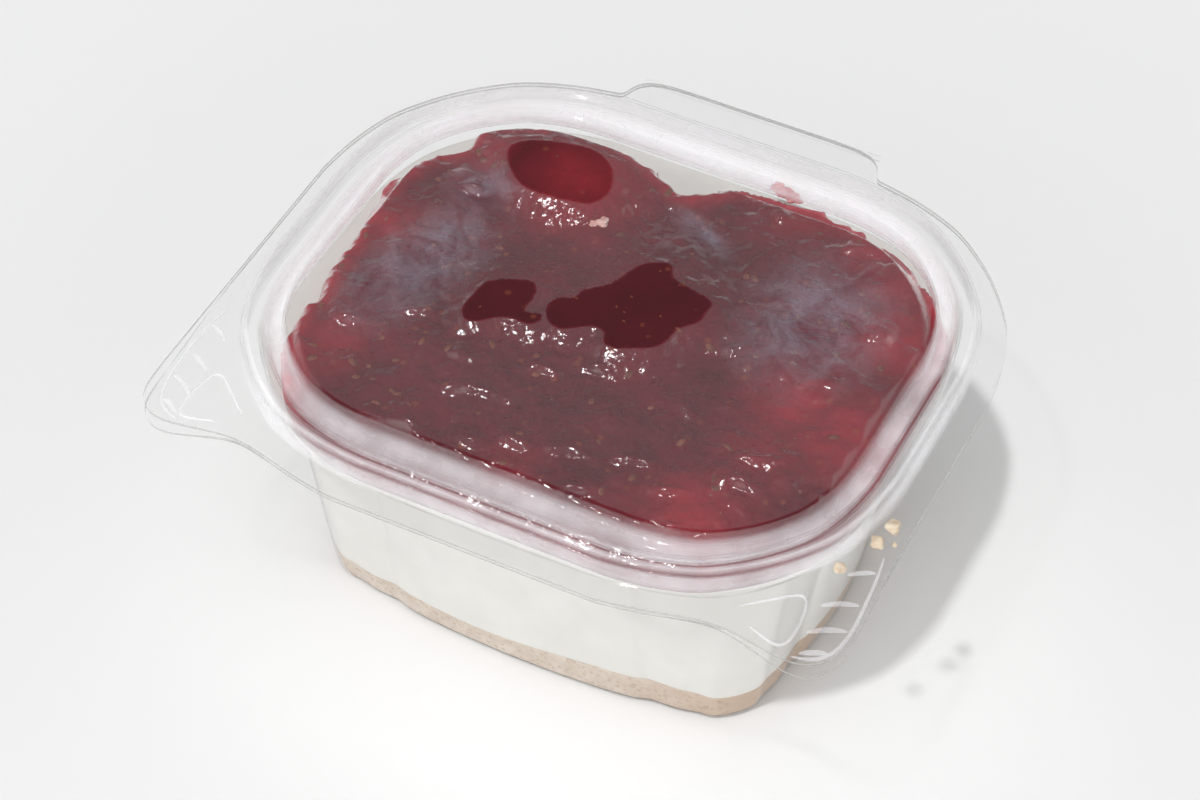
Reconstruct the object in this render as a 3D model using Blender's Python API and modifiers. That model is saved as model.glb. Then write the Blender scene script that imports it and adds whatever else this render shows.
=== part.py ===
# Cheesecake in a hinged clear tub: biscuit base, cheesecake and raspberry jam under a shut lid.
# Metres, +Z up. The origin is under the middle of the whole part, on the surface it stands on.
# X is the long side, the hinge is at +Y and the two lift tabs are at the front corners, -Y.

import math
import random

import bmesh
import bpy
from mathutils import Matrix, Vector, noise

# Driving dimensions of the tub and lid, in metres
SHEET = 0.0005  # thickness of the clear sheet
GAP = 0.0003  # clearance between neighbours
WALL_GAP = 0.00045  # clearance of the food to the wall
FLANGE = (0.07015, 0.0600)  # half length and half width over the flanges
FLANGE_CORNER = 0.0456
FLANGE_TOP = 0.0548  # top of the lid's flange when shut
TUB_FLANGE = FLANGE_TOP - 0.0013  # underside of the tub's flange
FLAT_EDGE = ((0.0692, 0.0591), 0.0447)  # where the flange's flat ring ends: half sizes and corner
FOOT = (0.0486, 0.03875)  # half length and half width of the footprint
FOOT_CORNER = 0.0185
FOOT_RING = (0.0008, 0.0070, 0.0085)  # insets of the ring it stands on, and of the raised bottom
WALL_SLANT = 1.2  # the slanting wall is this much thicker when measured level
BASE_RISE = 0.0008  # the middle of the bottom stands clear of the table
BEAD_TOP = 0.0586  # underside of the tub's bead
LID_RIDGE_TOP = 0.0604
LID_CHANNEL = 0.0559
PANEL = (0.0564, 0.0450)  # half length and half width of the lid's raised panel
PANEL_CORNER = 0.0290
PANEL_TOP = 0.06075

# Flutes of the wall: a bowed panel on each side, a recess beside it, and a post at each corner
FLUTE = 0.0013
BOW = 0.0014
SIDE_PANEL = (0.0250, 0.0150)  # half widths of the long and the short side's panel
RIM_PANEL = (0.0225, 0.0130)
FLUTE_STEP = 0.0013
CORNER_ANGLES = (0, 12, 24, 30, 45, 60, 66, 78, 90)
POST_ANGLES = (30, 60)

# Lift tabs and hinge
TAB = (0.0702, 0.0578)  # reach of the tabs' square corners
TAB_TIP = 0.0075
TAB_DIP = 0.0032
TAB_ROOT = 0.0340
TUB_TAB_DROP = 0.0026  # how far the tub's tabs bend down at their tips
TAB_BEND = 0.0022  # the tabs stay level this far beyond the round flange
TAB_REACH = 0.0125
RIBS = 4
RIB_RUN = (0.0070, 0.0030)
RIB_PITCH = 0.0070
RIB_START = 0.0310  # the first rib's outer end, measured forwards from the tub's middle
RIB_MARGIN = 0.0016  # from the tab's side to the ribs' outer ends
RIB_RADIUS = 0.0006
RIB_SINK = 0.00023  # the ribs' centres lie this far under the sheet's lower face
HINGE_HALF = 0.0260
LEAF_SWEEP = 85  # degrees of corner before the leaf's root
LID_LEAF_END = 0.0665
TUB_LEAF_END = 0.0669

# Food levels
CRUST_TOP = 0.0079
CRUST_WAVE = 0.0011
CHEESE_TOP = 0.0502
CHEESE_WAVE = 0.0004
JAM_LEVEL = 0.0573
JAM_LUMP = 0.0014
JAM_TOUCH = 0.0599  # where the jam reaches up to the lid
JAM_BACK_EDGE = 0.0453  # the jam stops short of the back wall
JAM_LEFT_DRAW = 0.050  # share by which its left side is drawn in
JAM_WALL_TOP = 0.0536  # the jam's height on the wall
JAM_SHOULDER = 0.0549  # its height below the rim of the lid's panel
# Where the jam touches the lid: middle x and y, half length and half width, turn in degrees
TOUCH_PATCHES = (
    (-0.0270, 0.0292, 0.0125, 0.0072, -4),
    (-0.0200, -0.0078, 0.0052, 0.0062, 10),
    (0.0030, 0.0020, 0.0158, 0.0082, 32),
)
SEEDS = 52
SEED_LENGTH = 0.0021

# The whole part's middle, measured over the hinge and the front edge
MIDDLE_Y = (TUB_LEAF_END - FLANGE[1]) / 2


def clear_scene():
    for obj in list(bpy.data.objects):
        bpy.data.objects.remove(obj, do_unlink=True)


def material(name, colour, roughness, alpha=1.0):
    mat = bpy.data.materials.new(name)
    mat.use_nodes = True
    shader = mat.node_tree.nodes["Principled BSDF"]
    shader.inputs["Base Color"].default_value = (*colour, 1.0)
    shader.inputs["Roughness"].default_value = roughness
    shader.inputs["Metallic"].default_value = 0.0
    shader.inputs["Alpha"].default_value = alpha
    return mat


def section(z, half, corner, flute=0.0, panel=SIDE_PANEL):
    return {"z": z, "half": half, "corner": corner, "flute": flute, "panel": panel}


def inset(sec, distance):
    half = (sec["half"][0] - distance, sec["half"][1] - distance)
    return {**sec, "half": half, "corner": max(sec["corner"] - distance, 0.001)}


def between(low, high, z):
    t = (z - low["z"]) / (high["z"] - low["z"])
    mixed = {"z": z}
    for key in ("half", "panel"):
        mixed[key] = tuple(a + (b - a) * t for a, b in zip(low[key], high[key]))
    for key in ("corner", "flute"):
        mixed[key] = low[key] + (high[key] - low[key]) * t
    return mixed


def quarter(sec):
    # One quarter of the outline, from the middle of the +X side to just short of the +Y side's
    a, b = sec["half"]
    r = sec["corner"]
    px, py = sec["panel"]
    depth = FLUTE * sec["flute"]
    bow = BOW * sec["flute"]
    points = [(a + bow, 0.0), (a + bow * 0.75, py / 2), (a, py), (a - depth, py + FLUTE_STEP)]
    for angle in CORNER_ANGLES:
        post = POST_ANGLES[0] <= angle <= POST_ANGLES[1]
        reach = r if post else r - depth
        turn = math.radians(angle)
        points.append((a - r + reach * math.cos(turn), b - r + reach * math.sin(turn)))
    points += [(px + FLUTE_STEP, b - depth), (px, b), (px / 2, b + bow * 0.75)]
    return points, (0.0, b + bow)


def all_round(front_quarter, front_end, back_quarter, back_end):
    # Joins quarters drawn at +X into a whole outline, counter-clockwise from the +X side
    back = back_quarter + [back_end] + [(-x, y) for x, y in reversed(back_quarter)]
    front = front_quarter[1:] + [front_end] + [(-x, y) for x, y in reversed(front_quarter[1:])]
    return back + [(x, -y) for x, y in reversed(front)]


def outline(sec):
    points, end = quarter(sec)
    return [Vector((x, y, sec["z"])) for x, y in all_round(points, end, points, end)]


def tab_quarter():
    # Flange edge at a front corner: side, square tip, then a dip back to the front edge
    x_reach, y_reach = TAB
    points = [(FLANGE[0], 0.0), (FLANGE[0], 0.008), (FLANGE[0], 0.016), (x_reach, 0.026)]
    points.append((x_reach, 0.038))
    for angle in (0, 30, 60, 90):
        turn = math.radians(angle)
        x = x_reach - TAB_TIP + TAB_TIP * math.cos(turn)
        points.append((x, y_reach - TAB_TIP + TAB_TIP * math.sin(turn)))
    root_y = FLANGE[1] - 0.0012
    for t in (0.25, 0.5, 0.75, 1.0):
        x = x_reach - TAB_TIP + (TAB_ROOT - x_reach + TAB_TIP) * t
        dip = TAB_DIP * math.sin(math.pi * t) ** 2
        points.append((x, y_reach + (root_y - y_reach) * t - dip))
    points += [(HINGE_HALF + FLUTE_STEP, FLANGE[1]), (HINGE_HALF, FLANGE[1]), (HINGE_HALF / 2, FLANGE[1])]
    return points, (0.0, FLANGE[1])


def leaf_quarter(leaf_end):
    # Flange edge at a back corner, with half of the hinge leaf
    a, b = FLANGE
    r = FLANGE_CORNER
    points = [(a, 0.0), (a, 0.0065), (a, 0.0130), (a, 0.0143)]
    for angle in CORNER_ANGLES:
        turn = math.radians(angle * LEAF_SWEEP / 90)
        points.append((a - r + r * math.cos(turn), b - r + r * math.sin(turn)))
    points += [(HINGE_HALF + FLUTE_STEP, b), (HINGE_HALF, leaf_end), (HINGE_HALF / 2, leaf_end)]
    return points, (0.0, leaf_end)


def flange_edge(z, leaf_end, tab_drop):
    edge = []
    for x, y in all_round(*tab_quarter(), *leaf_quarter(leaf_end)):
        edge.append(Vector((x, y, z - tab_drop * tab_weight(x, y))))
    return edge


def tab_weight(x, y):
    # 0 on the plain flange, 1 at a tab's tip
    if y > 0:
        return 0.0
    dx = max(abs(x) - (FLANGE[0] - FLANGE_CORNER), 0.0)
    dy = max(abs(y) - (FLANGE[1] - FLANGE_CORNER), 0.0)
    beyond = math.hypot(dx, dy) - FLANGE_CORNER
    return min(max((beyond - TAB_BEND) / (TAB_REACH - TAB_BEND), 0.0), 1.0)


def loft(rings, close_start=True, close_end=True):
    # Skins a run of outlines that have the same number of points, and caps its two ends
    bm = bmesh.new()
    rows = [[bm.verts.new(point) for point in ring] for ring in rings]
    count = len(rows[0])
    for low, high in zip(rows, rows[1:]):
        for i in range(count):
            j = (i + 1) % count
            bm.faces.new((low[i], low[j], high[j]))
            bm.faces.new((low[i], high[j], high[i]))
    for row, closed, last in ((rows[0], close_start, False), (rows[-1], close_end, True)):
        if not closed:
            continue
        middle = bm.verts.new(sum((vert.co for vert in row), Vector()) / count)
        for i in range(count):
            pair = (row[i], row[(i + 1) % count])
            bm.faces.new((*pair, middle) if last else (*reversed(pair), middle))
    return bm


def finish(name, bm, mat, collection, recalculate=True):
    if recalculate:
        bmesh.ops.recalc_face_normals(bm, faces=bm.faces)
    mesh = bpy.data.meshes.new(name)
    bm.to_mesh(mesh)
    bm.free()
    mesh.materials.append(mat)
    mesh.shade_smooth()
    mesh.set_sharp_from_angle(angle=math.radians(40))
    obj = bpy.data.objects.new(name, mesh)
    obj.location = (0.0, -MIDDLE_Y, 0.0)
    collection.objects.link(obj)
    return obj


def sheet(obj):
    wall = obj.modifiers.new("sheet", "SOLIDIFY")
    wall.thickness = SHEET
    wall.offset = -1.0


def wall_sections():
    # The tub's outer face from the foot to under the bead
    return [
        section(0.0015, FOOT, FOOT_CORNER, flute=1.0),
        section(0.0240, (0.0520, 0.0422), 0.0228, flute=1.0),
        section(0.0432, (0.0548, 0.0453), 0.0270, flute=0.9, panel=(0.0255, 0.0155)),
        section(0.0470, (0.0590, 0.0496), 0.0332, flute=0.4, panel=(0.0240, 0.0145)),
        section(0.0495, (0.0606, 0.0512), 0.0358, flute=0.0, panel=RIM_PANEL),
        section(0.0580, (0.0614, 0.0520), 0.0366, flute=0.0, panel=RIM_PANEL),
    ]


def wall_at(z):
    sections = wall_sections()
    for low, high in zip(sections, sections[1:]):
        if z <= high["z"]:
            return between(low, high, z)
    return sections[-1]


def food_side(z, extra=0.0):
    # The wall's inner face, less the clearance that the food keeps
    return inset(wall_at(z), SHEET * WALL_SLANT + WALL_GAP + extra)


def build_tub(mat, collection):
    foot = section(0.0, FOOT, FOOT_CORNER, flute=1.0)
    outer, inner, raised = FOOT_RING
    rings = [
        outline({**inset(foot, raised), "z": BASE_RISE}),
        outline(inset(foot, inner)),
        outline(inset(foot, outer)),
    ]
    rings += [outline(sec) for sec in wall_sections()]
    rings += [
        outline(section(BEAD_TOP, (0.0618, 0.0524), 0.0370, panel=RIM_PANEL)),
        outline(section(BEAD_TOP, (0.0631, 0.0535), 0.0383, panel=RIM_PANEL)),
        outline(section(BEAD_TOP - 0.0006, (0.0636, 0.0540), 0.0389, panel=RIM_PANEL)),
        outline(section(TUB_FLANGE + 0.0004, (0.0640, 0.0543), 0.0393, panel=RIM_PANEL)),
        outline(section(TUB_FLANGE, (0.0650, 0.0552), 0.0402, panel=RIM_PANEL)),
        outline(section(TUB_FLANGE, *FLAT_EDGE, panel=RIM_PANEL)),
        flange_edge(TUB_FLANGE, TUB_LEAF_END, TUB_TAB_DROP),
    ]
    bm = loft(rings, close_start=True, close_end=False)
    tub = finish("tub", bm, mat, collection, recalculate=False)
    sheet(tub)
    return tub


def build_tab_ribs(collection):
    # Round ribs under the tub's two tabs, as a ladder across them
    ribs = []
    for side in (-1, 1):
        for i in range(RIBS):
            outer = Vector((side * (TAB[0] - RIB_MARGIN), -RIB_START - RIB_PITCH * i, 0.0))
            inner = outer + Vector((-side * RIB_RUN[0], -RIB_RUN[1], 0.0))
            for end in (outer, inner):
                drop = TUB_TAB_DROP * tab_weight(end.x, end.y)
                end.z = TUB_FLANGE - drop - RIB_SINK
            run = outer - inner
            bm = bmesh.new()
            bmesh.ops.create_cone(bm, cap_ends=True, segments=8, radius1=RIB_RADIUS,
                                  radius2=RIB_RADIUS, depth=run.length)
            turn = run.to_track_quat("Z", "Y").to_matrix().to_4x4()
            bm.transform(Matrix.Translation((outer + inner) / 2) @ turn)
            mesh = bpy.data.meshes.new("rib")
            bm.to_mesh(mesh)
            bm.free()
            rib = bpy.data.objects.new("rib", mesh)
            rib.location = (0.0, -MIDDLE_Y, 0.0)
            rib.hide_render = True
            rib.display_type = "WIRE"
            collection.objects.link(rib)
            ribs.append(rib)
    return ribs


def join_by_union(obj, collection, solver):
    # Unites the collection's objects with obj, applies the result and removes them
    union = obj.modifiers.new("union", "BOOLEAN")
    union.operation = "UNION"
    union.operand_type = "COLLECTION"
    union.collection = collection
    union.solver = solver
    bpy.context.view_layer.update()
    evaluated = obj.evaluated_get(bpy.context.evaluated_depsgraph_get())
    mesh = bpy.data.meshes.new_from_object(evaluated)
    obj.modifiers.clear()
    obj.data = mesh
    for piece in list(collection.objects):
        bpy.data.objects.remove(piece, do_unlink=True)


def build_lid(mat, collection):
    edge = flange_edge(FLANGE_TOP, LID_LEAF_END, 0.0)
    steps = [
        section(FLANGE_TOP, *FLAT_EDGE),
        section(FLANGE_TOP, (0.0657, 0.0557), 0.0412),
        section(FLANGE_TOP + 0.0006, (0.0653, 0.0553), 0.0408),
        section(LID_RIDGE_TOP - 0.0017, (0.0650, 0.0550), 0.0405),
        section(LID_RIDGE_TOP - 0.0004, (0.0643, 0.0543), 0.0398),
        section(LID_RIDGE_TOP, (0.0636, 0.0536), 0.0391),
        section(LID_RIDGE_TOP, (0.0614, 0.0518), 0.0370),
        section(LID_RIDGE_TOP - 0.0006, (0.0604, 0.0509), 0.0361),
        section(LID_CHANNEL + 0.0006, (0.0595, 0.0498), 0.0351),
        section(LID_CHANNEL, (0.0589, 0.0490), 0.0344),
        section(LID_CHANNEL, (0.0578, 0.0466), 0.0315),
        section(LID_CHANNEL + 0.0006, (0.0573, 0.0459), 0.0305),
        section(PANEL_TOP - 0.0006, (0.0569, 0.0454), 0.0298),
        section(PANEL_TOP, PANEL, PANEL_CORNER),
    ]
    rings = [edge] + [outline({**sec, "panel": RIM_PANEL}) for sec in steps]
    bm = loft(rings, close_start=False, close_end=True)
    lid = finish("lid", bm, mat, collection, recalculate=False)
    sheet(lid)
    return lid


def crust_top(x, y):
    wave = noise.noise(Vector((x * 55, y * 55, 1.7)))
    fine = noise.noise(Vector((x * 110, y * 110, 4.2)))
    return CRUST_TOP + CRUST_WAVE * (1.1 * wave + 0.2 * fine)


def cheese_top(x, y):
    return CHEESE_TOP + CHEESE_WAVE * noise.noise(Vector((x * 60, y * 60, 9.1)))


def on_surface(ring, height, scale=1.0, lift=0.0):
    points = []
    for point in ring:
        x, y = point.x * scale, point.y * scale
        points.append(Vector((x, y, height(x, y) + lift)))
    return points


def build_crust(mat, collection):
    # Drawn from the middle of its top down, so that its top is split as the layer above is
    edge = outline(food_side(CRUST_TOP))
    rings = [on_surface(edge, crust_top, scale) for scale in (0.16, 0.42, 0.72, 1.0)]
    rings.append(outline(food_side(0.0036)))
    rings.append(outline({**food_side(0.0020, extra=0.0006), "z": BASE_RISE + SHEET + GAP}))
    return finish("biscuit_base", loft(rings), mat, collection)


def build_cheesecake(mat, collection):
    edge = outline(food_side(CRUST_TOP))
    rings = [on_surface(edge, crust_top, scale, GAP) for scale in (0.16, 0.42, 0.72, 1.0)]
    rings += [outline(food_side(z)) for z in (0.0240, 0.0432, 0.0470, 0.0490)]
    top = outline(food_side(CHEESE_TOP))
    rings += [on_surface(top, cheese_top, scale) for scale in (1.0, 0.90, 0.60, 0.30)]
    return finish("cheesecake", loft(rings), mat, collection)


def jam_edge(extra=0.0):
    # The jam meets the wall at the front and right, and stops short of it at the back and left
    points = []
    for point in outline(food_side(CHEESE_TOP + GAP, extra=extra)):
        x, y = point.x, point.y
        if y > JAM_BACK_EDGE - extra:
            y = JAM_BACK_EDGE - extra
        if x < 0:
            left = min(-x / FOOT[0], 1.0)
            x *= 1.0 - JAM_LEFT_DRAW * left
        points.append(Vector((x, y, 0.0)))
    return points


def touch_weight(x, y):
    # 1 inside the patches where the jam touches the lid, 0 well outside them
    weight = 0.0
    for px, py, rx, ry, angle in TOUCH_PATCHES:
        turn = math.radians(angle)
        dx = (x - px) * math.cos(turn) + (y - py) * math.sin(turn)
        dy = (y - py) * math.cos(turn) - (x - px) * math.sin(turn)
        distance = math.hypot(dx / rx, dy / ry)
        weight = max(weight, min(max((1.6 - distance) / 0.6, 0.0), 1.0))
    return weight * weight * (3 - 2 * weight)


def jam_top(x, y):
    lump = noise.noise(Vector((x * 70, y * 70, 2.3)))
    fine = noise.noise(Vector((x * 160, y * 160, 5.5)))
    level = JAM_LEVEL + JAM_LUMP * (1.2 * lump + 0.5 * fine)
    touch = touch_weight(x, y)
    return min(level + (JAM_TOUCH - level) * touch, JAM_TOUCH)


def build_jam(mat, collection, seeds):
    def floor(x, y):
        return cheese_top(x, y) + GAP

    panel = section(0.0, PANEL, PANEL_CORNER, panel=(0.0200, 0.0120))
    edge = jam_edge()
    rings = [on_surface(edge, floor, scale) for scale in (0.30, 0.60, 0.90, 1.0)]
    rings.append([Vector((p.x, p.y, JAM_WALL_TOP)) for p in jam_edge(extra=0.0002)])
    rings.append([Vector((p.x, p.y, JAM_SHOULDER)) for p in outline(inset(panel, 0.0008))])
    for distance, limit in ((0.0028, 0.0572), (0.0052, 0.0590), (0.0085, JAM_TOUCH),
                            (0.0125, JAM_TOUCH), (0.0170, JAM_TOUCH), (0.0215, JAM_TOUCH)):
        ring = on_surface(outline(inset(panel, distance)), jam_top)
        rings.append([Vector((p.x, p.y, min(p.z, limit))) for p in ring])
    core = outline(inset(panel, 0.0215))
    rings += [on_surface(core, jam_top, scale) for scale in (0.78, 0.56, 0.34, 0.14)]
    jam = finish("raspberry_jam", loft(rings), mat, collection)

    draw = random.Random(7)
    while len(seeds.objects) < SEEDS:
        x = draw.uniform(-1, 1) * (PANEL[0] - 0.008)
        y = draw.uniform(-1, 1) * (PANEL[1] - 0.008)
        corner = (max(abs(x) - 0.030, 0) / 0.020) ** 2 + (max(abs(y) - 0.018, 0) / 0.020) ** 2
        if corner > 1 or touch_weight(x, y) > 0 or jam_top(x, y) > 0.0590:
            continue
        add_seed(seeds, Vector((x, y, jam_top(x, y))), draw.uniform(0, math.pi))
    return jam


def add_seed(seeds, place, turn):
    bm = bmesh.new()
    bmesh.ops.create_uvsphere(bm, u_segments=5, v_segments=4, radius=SEED_LENGTH / 2)
    size = Matrix.Diagonal((1.0, 0.68, 0.62, 1.0))
    bm.transform(Matrix.Translation(place) @ Matrix.Rotation(turn, 4, "Z") @ size)
    mesh = bpy.data.meshes.new("seed")
    bm.to_mesh(mesh)
    bm.free()
    seed = bpy.data.objects.new("seed", mesh)
    seed.location = (0.0, -MIDDLE_Y, 0.0)
    seed.hide_render = True
    seed.display_type = "WIRE"
    seeds.objects.link(seed)


def main():
    clear_scene()
    parts = bpy.data.collections.new("cheesecake_tub")
    ribs = bpy.data.collections.new("ribs")
    seeds = bpy.data.collections.new("seeds")
    for collection in (parts, ribs, seeds):
        bpy.context.scene.collection.children.link(collection)

    clear = material("clear_sheet", (0.90, 0.91, 0.91), 0.08, alpha=0.35)
    tub = build_tub(clear, parts)
    build_tab_ribs(ribs)
    join_by_union(tub, ribs, "MANIFOLD")
    build_lid(clear.copy(), parts)
    build_crust(material("biscuit", (0.62, 0.42, 0.27), 0.85), parts)
    build_cheesecake(material("cream_cheese", (0.83, 0.81, 0.76), 0.55), parts)
    jam = build_jam(material("raspberry", (0.22, 0.012, 0.02), 0.25), parts, seeds)
    join_by_union(jam, seeds, "MANIFOLD")
    for collection in (ribs, seeds):
        bpy.data.collections.remove(collection)


main()
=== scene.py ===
import math
import random

import bmesh
import bpy
import numpy as np
from mathutils import Matrix, Quaternion, Vector, noise
from mathutils.bvhtree import BVHTree


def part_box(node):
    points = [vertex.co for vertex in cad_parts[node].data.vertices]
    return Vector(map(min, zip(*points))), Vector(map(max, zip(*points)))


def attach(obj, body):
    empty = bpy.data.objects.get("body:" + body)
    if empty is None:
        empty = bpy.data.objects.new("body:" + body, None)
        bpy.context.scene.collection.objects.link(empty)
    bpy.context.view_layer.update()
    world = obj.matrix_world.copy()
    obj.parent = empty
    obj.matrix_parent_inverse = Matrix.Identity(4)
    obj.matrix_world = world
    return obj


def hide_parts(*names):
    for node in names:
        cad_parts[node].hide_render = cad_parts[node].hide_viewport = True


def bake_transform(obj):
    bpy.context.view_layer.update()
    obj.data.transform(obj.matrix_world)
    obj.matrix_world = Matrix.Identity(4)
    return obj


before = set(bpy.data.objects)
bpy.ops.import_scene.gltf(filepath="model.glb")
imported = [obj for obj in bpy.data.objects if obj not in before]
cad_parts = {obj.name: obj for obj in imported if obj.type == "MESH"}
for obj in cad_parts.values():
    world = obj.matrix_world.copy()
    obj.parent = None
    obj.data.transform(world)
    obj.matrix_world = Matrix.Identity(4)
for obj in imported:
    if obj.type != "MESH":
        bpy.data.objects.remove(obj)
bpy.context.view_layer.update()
print("frame loaded")

cheeseLow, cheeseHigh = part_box("cheesecake")
midY = (cheeseLow.y + cheeseHigh.y) / 2  # pieces are drawn round the tub's own middle, then moved here

# Sizes that the tub, the lid and the food share, in metres
pack = {
    "sheet": 0.0005,
    "foot": ((0.0486, 0.03875), 0.0185),  # half sizes, then the corner's radius
    "flange": ((0.07015, 0.0600), 0.0456),
    "flatEdge": ((0.0692, 0.0591), 0.0447),
    "panel": ((0.0564, 0.0450), 0.0290),
    "lidFlange": 0.0548,  # heights
    "tubFlange": 0.0535,
    "beadTop": 0.0586,
    "channel": 0.0559,
    "ridgeTop": 0.0604,
    "panelTop": 0.06075,
    "hingeHalf": 0.0260,
}
flute = {
    "depth": 0.0013,
    "bow": 0.0014,
    "shoulder": 0.75,  # share of the bow halfway along a flat
    "step": 0.0013,
    "flat": (0.0250, 0.0150),
    "rimFlat": (0.0225, 0.0130),
    "turns": (0, 12, 24, 30, 45, 60, 66, 78, 90),
    "post": (30, 60),
}
tab = {
    "reach": (0.0702, 0.0578),
    "tip": 0.0075,
    "flangeStops": (0.008, 0.016),  # y along the straight flange, then along the tab
    "tabStops": (0.026, 0.038),
    "leafStops": (0.0065, 0.0130, 0.0143),
    "rootInset": 0.0012,
    "dip": 0.0032,
    "root": 0.0340,
    "drop": 0.0026,  # the tub's tabs bend down this far at their tips
    "bend": (0.0022, 0.0125),  # where the bend starts and ends, outside the round flange
    "tubLeaf": 0.0669,
    "lidLeaf": 0.0665,
    "leafSweep": 85,
}


def ring(z, size, deep=0.0, flat=flute["flat"], inset=0.0):
    (a, b), corner = size
    half = (a - inset, b - inset)
    return {"z": z, "half": half, "corner": max(corner - inset, 0.001), "deep": deep, "flat": flat}


def rimRing(z, a, b, corner):
    return ring(z, ((a, b), corner), flat=flute["rimFlat"])


def quarterLine(row):
    # from the middle of the right side to just short of the back's
    a, b = row["half"]
    r = row["corner"]
    px, py = row["flat"]
    depth = flute["depth"] * row["deep"]
    bow = flute["bow"] * row["deep"]
    step = flute["step"]
    shoulder = bow * flute["shoulder"]
    line = [(a + bow, 0.0), (a + shoulder, py / 2), (a, py), (a - depth, py + step)]
    for turn in flute["turns"]:
        reach = r if flute["post"][0] <= turn <= flute["post"][1] else r - depth
        angle = math.radians(turn)
        line.append((a - r + reach * math.cos(angle), b - r + reach * math.sin(angle)))
    line += [(px + step, b - depth), (px, b), (px / 2, b + shoulder)]
    return line, (0.0, b + bow)


def allRound(front, back):
    frontLine, frontEnd = front
    backLine, backEnd = back
    behind = backLine + [backEnd] + [(-x, y) for x, y in reversed(backLine)]
    before = frontLine[1:] + [frontEnd] + [(-x, y) for x, y in reversed(frontLine[1:])]
    return behind + [(x, -y) for x, y in reversed(before)]


def lineOf(row):
    quarter = quarterLine(row)
    return [Vector((x, y, row["z"])) for x, y in allRound(quarter, quarter)]


def tabQuarter():
    xReach, yReach = tab["reach"]
    a, b = pack["flange"][0]
    line = [(a, 0.0)] + [(a, y) for y in tab["flangeStops"]] + [(xReach, y) for y in tab["tabStops"]]
    for turn in (0, 30, 60, 90):
        angle = math.radians(turn)
        line.append((xReach - tab["tip"] + tab["tip"] * math.cos(angle),
                     yReach - tab["tip"] + tab["tip"] * math.sin(angle)))
    rootY = b - tab["rootInset"]
    for t in (0.25, 0.5, 0.75, 1.0):
        x = xReach - tab["tip"] + (tab["root"] - xReach + tab["tip"]) * t
        line.append((x, yReach + (rootY - yReach) * t - tab["dip"] * math.sin(math.pi * t) ** 2))
    half = pack["hingeHalf"]
    line += [(half + flute["step"], b), (half, b), (half / 2, b)]
    return line, (0.0, b)


def leafQuarter(leafEnd):
    (a, b), r = pack["flange"]
    line = [(a, 0.0)] + [(a, y) for y in tab["leafStops"]]
    for turn in flute["turns"]:
        angle = math.radians(turn * tab["leafSweep"] / 90)
        line.append((a - r + r * math.cos(angle), b - r + r * math.sin(angle)))
    half = pack["hingeHalf"]
    line += [(half + flute["step"], b), (half, leafEnd), (half / 2, leafEnd)]
    return line, (0.0, leafEnd)


def tabShare(x, y):
    # 0 on the plain flange, 1 at a tab's tip
    if y > 0:
        return 0.0
    (a, b), r = pack["flange"]
    beyond = math.hypot(max(abs(x) - a + r, 0), max(abs(y) - b + r, 0)) - r
    start, end = tab["bend"]
    return min(max((beyond - start) / (end - start), 0.0), 1.0)


def flangeLine(z, leafEnd, drop):
    corners = allRound(tabQuarter(), leafQuarter(leafEnd))
    return [Vector((x, y, z - drop * tabShare(x, y))) for x, y in corners]


def softLine(line, levels=2):
    # rounds a closed line as subdivision does, so that food drawn on it meets the wall
    for _ in range(levels):
        finer = []
        for i, point in enumerate(line):
            before, after = line[i - 1], line[(i + 1) % len(line)]
            finer += [(before + point * 6 + after) / 8, (point + after) / 2]
        line = finer
    return line


def held(lines, hold=0.0006):
    # support rings beside each bend keep it tight when the shell is subdivided
    kept = [lines[0]]
    for low, high in zip(lines, lines[1:]):
        reach = max((b - a).length for a, b in zip(low, high))
        if reach > hold * 3:
            for share in (hold / reach, 1 - hold / reach):
                kept.append([a.lerp(b, share) for a, b in zip(low, high)])
        kept.append(high)
    return kept


def growShell(lines, capFirst=False, capLast=False, creased=(), into=None):
    # one ring of edges, extruded from outline to outline
    bm = bmesh.new() if into is None else into
    station = bm.verts.layers.int.get("station") or bm.verts.layers.int.new("station")
    crease = bm.edges.layers.float.get("crease_edge") or bm.edges.layers.float.new("crease_edge")
    first = bmesh.ops.create_circle(bm, segments=len(lines[0]), radius=0.05)["verts"]
    for place, vert in enumerate(first):
        vert[station] = place
        vert.co = lines[0][place]
    started = set(first)
    edges = [edge for edge in bm.edges if edge.verts[0] in started]
    if capFirst:
        bmesh.ops.contextual_create(bm, geom=edges)
    for number, line in enumerate(lines):
        if number:
            grown = bmesh.ops.extrude_edge_only(bm, edges=edges)["geom"]
            fresh = {item for item in grown if isinstance(item, bmesh.types.BMVert)}
            for vert in fresh:
                vert.co = line[vert[station]]
            edges = [item for item in grown if isinstance(item, bmesh.types.BMEdge)
                     and item.verts[0] in fresh and item.verts[1] in fresh]
        if number in creased:
            for edge in edges:
                edge[crease] = 1.0
    if capLast:
        bmesh.ops.contextual_create(bm, geom=edges)
    return bm


def faceUp(bm, place, up=True):
    # turns the whole shell over where the face at this place looks the wrong way
    bm.normal_update()
    bm.faces.ensure_lookup_table()
    if (bm.faces[place].normal.z > 0) != up:
        bmesh.ops.reverse_faces(bm, faces=bm.faces[:])


def faceOut(bm):
    bmesh.ops.recalc_face_normals(bm, faces=bm.faces[:])


def link(thing):
    bpy.context.scene.collection.objects.link(thing)


def newPiece(name, bm, body, materials, moved=True):
    if moved:
        bmesh.ops.translate(bm, verts=bm.verts[:], vec=(0, midY, 0))
    mesh = bpy.data.meshes.new(name)
    bm.to_mesh(mesh)
    bm.free()
    for mat in materials:
        mesh.materials.append(mat)
    mesh.shade_smooth()
    piece = bpy.data.objects.new(name, mesh)
    link(piece)
    if body:
        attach(piece, body)
    return piece


def subdivide(piece):
    soft = piece.modifiers.new("soft", "SUBSURF")
    soft.levels = soft.render_levels = 2


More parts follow.
